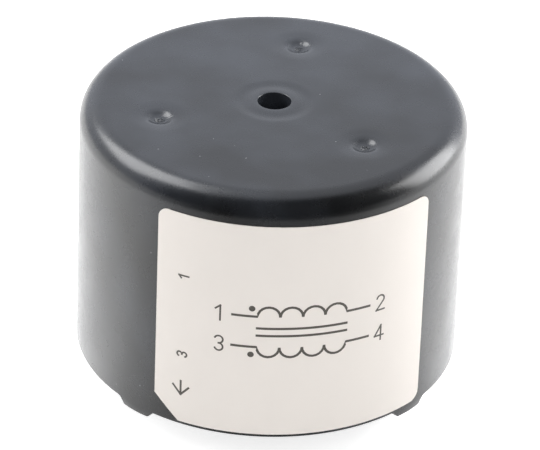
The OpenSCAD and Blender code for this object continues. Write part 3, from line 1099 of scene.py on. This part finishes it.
def makeTerminal(name, x, y):
    outline = [(0, pin["tip"])]
    outline += [(pin["radius"] * share, pin["tip"] + height * mm) for height, share in pin["rounding"]]
    outline += [(pin["radius"], pin["top"]), (0, pin["top"])]
    obj = latheOutline(name, outline, pin["sides"])
    moveAll(obj, (x, y, 0))
    smoothEdges(obj, pin["smoothAngle"])
    return obj


tinFinish = {
    "color": (0.72, 0.725, 0.73),
    "roughness": 0.24,
    "drawn": (1, 1, 0.25),      # the unevenness is drawn out along the wire
    "uneven": (0.5 * mm, 3.0),
    "bump": (0.03 * mm, 0.6),
    "roughLimits": (0.3, 0.7, 0.16, 0.34),
}


def tinned(look):
    material, shader = newMaterial("tinnedWire", look["color"], look["roughness"], Metallic=1.0)
    place = stretched(material, objectPlace(material), look["drawn"])
    uneven = noise(material, place, *look["uneven"])
    addBump(material, shader, uneven, *look["bump"])
    addRoughness(material, shader, uneven, look["roughLimits"])
    return material


tinMaterial = tinned(tinFinish)
pinPlaces = {"terminal_1": (-1, -1), "terminal_2": (-1, 1), "terminal_3": (1, -1), "terminal_4": (1, 1)}
for node, (sideX, sideY) in pinPlaces.items():
    terminal = makeTerminal("tinned_end_" + node[-1], sideX * coil["pinX"], sideY * coil["pinY"])
    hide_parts(node)
    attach(terminal, "root")
    terminal.data.materials.append(tinMaterial)
print("terminals modelled")

# Resin: the cast filling, with its points merged and its faces shaded smooth
resinFinish = {
    "color": (0.010, 0.011, 0.012),
    "roughness": 0.12,
    "ior": 1.55,
    "flow": (7 * mm, 2.0),
    "flowShare": 5.0,
    "ripple": (1.6 * mm, 2.0),
    "bump": (0.02 * mm, 0.8),
    "dust": (0.5 * mm, 4.0, 0.7),
    "roughLimits": (0.45, 0.75, 0.10, 0.32),
}
resinSmoothAngle = 35


def castResin(look):
    material, shader = newMaterial("castEpoxy", look["color"], look["roughness"], IOR=look["ior"])
    place = objectPlace(material)
    flow = combine(material, noise(material, place, *look["flow"]), look["flowShare"], "MULTIPLY")
    height = combine(material, flow, noise(material, place, *look["ripple"]), "ADD")
    addBump(material, shader, height, *look["bump"])
    addRoughness(material, shader, noise(material, place, *look["dust"]), look["roughLimits"])
    return material


resin = mergedCopy("potting_resin", "cast_resin")
smoothEdges(resin, resinSmoothAngle)
applyModifier(resin, "WEIGHTED_NORMAL", keep_sharp=True)
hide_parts("potting_resin")
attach(resin, "root")
resin.data.materials.append(castResin(resinFinish))
print("resin made smooth")

# Finishes of the parts that keep their own shape
tapeFinish = {
    "color": (0.42, 0.43, 0.44),
    "roughness": 0.35,
    "layer": 0.18 * mm,
    "level": (1, 1, 0),         # the layers are the same at every height
    "uneven": (1.2 * mm, 3.0),
    "unevenShare": 2.0,
    "bump": 0.02 * mm,
    "tones": ((0.30, 0.31, 0.325), (0.46, 0.465, 0.475)),
}
plasticFinish = {
    "grain": (0.2 * mm, 3.0, 0.6),
    "bump": 0.006 * mm,
    "blotches": (6 * mm, 3.0),
    "roughness": {"casePlastic": 0.45, "spacerPlastic": 0.42},
    "tones": {"casePlastic": ((0.44, 0.42, 0.36), (0.50, 0.475, 0.41)),
              "spacerPlastic": ((0.62, 0.585, 0.47), (0.70, 0.66, 0.55))},
}
laminateFinish = {
    "color": (0.34, 0.26, 0.10),
    "roughness": 0.4,
    "strand": 0.9 * mm,
    "bump": 0.008 * mm,
    "tones": ((0.30, 0.225, 0.085), (0.39, 0.30, 0.125)),
}
waveLimits = (-1, 1)            # lowest and highest value of stripes


def tapeWound(look):
    material, shader = newMaterial("woundMetalTape", look["color"], look["roughness"], Metallic=1.0)
    place = objectPlace(material)
    radius = vectorMath(material, stretched(material, place, look["level"]), "LENGTH")
    layers = stripes(material, radius, look["layer"])
    uneven = combine(material, noise(material, place, *look["uneven"]), look["unevenShare"], "MULTIPLY")
    addBump(material, shader, combine(material, layers, uneven, "ADD"), look["bump"])
    addTone(material, shader, spread(material, layers, *waveLimits), *look["tones"])
    return material


def mouldedPlastic(name, look):
    dark, light = look["tones"][name]
    material, shader = newMaterial(name, light, look["roughness"][name])
    place = objectPlace(material)
    addBump(material, shader, noise(material, place, *look["grain"]), look["bump"])
    addTone(material, shader, noise(material, place, *look["blotches"]), dark, light)
    return material


def glassLaminate(look):
    material, shader = newMaterial("glassLaminate", look["color"], look["roughness"])
    place = objectPlace(material)
    weave = [stripes(material, vectorMath(material, place, "DOT_PRODUCT", axis), look["strand"])
             for axis in ((1, 0, 0), (0, 1, 0))]
    cloth = combine(material, weave[0], weave[1], "MULTIPLY")
    addBump(material, shader, cloth, look["bump"])
    addTone(material, shader, spread(material, cloth, *waveLimits), *look["tones"])
    return material


keptFinishes = {
    "core_ring": tapeWound(tapeFinish),
    "core_case_cup": mouldedPlastic("casePlastic", plasticFinish),
    "winding_spacer_front": mouldedPlastic("spacerPlastic", plasticFinish),
    "lead_guide_plate": glassLaminate(laminateFinish),
}
keptFinishes["core_case_lid"] = keptFinishes["core_case_cup"]
keptFinishes["winding_spacer_rear"] = keptFinishes["winding_spacer_front"]
for node, material in keptFinishes.items():
    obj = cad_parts[node]
    obj.data.materials.clear()
    obj.data.materials.append(material)
print("finishes of the inner parts set")
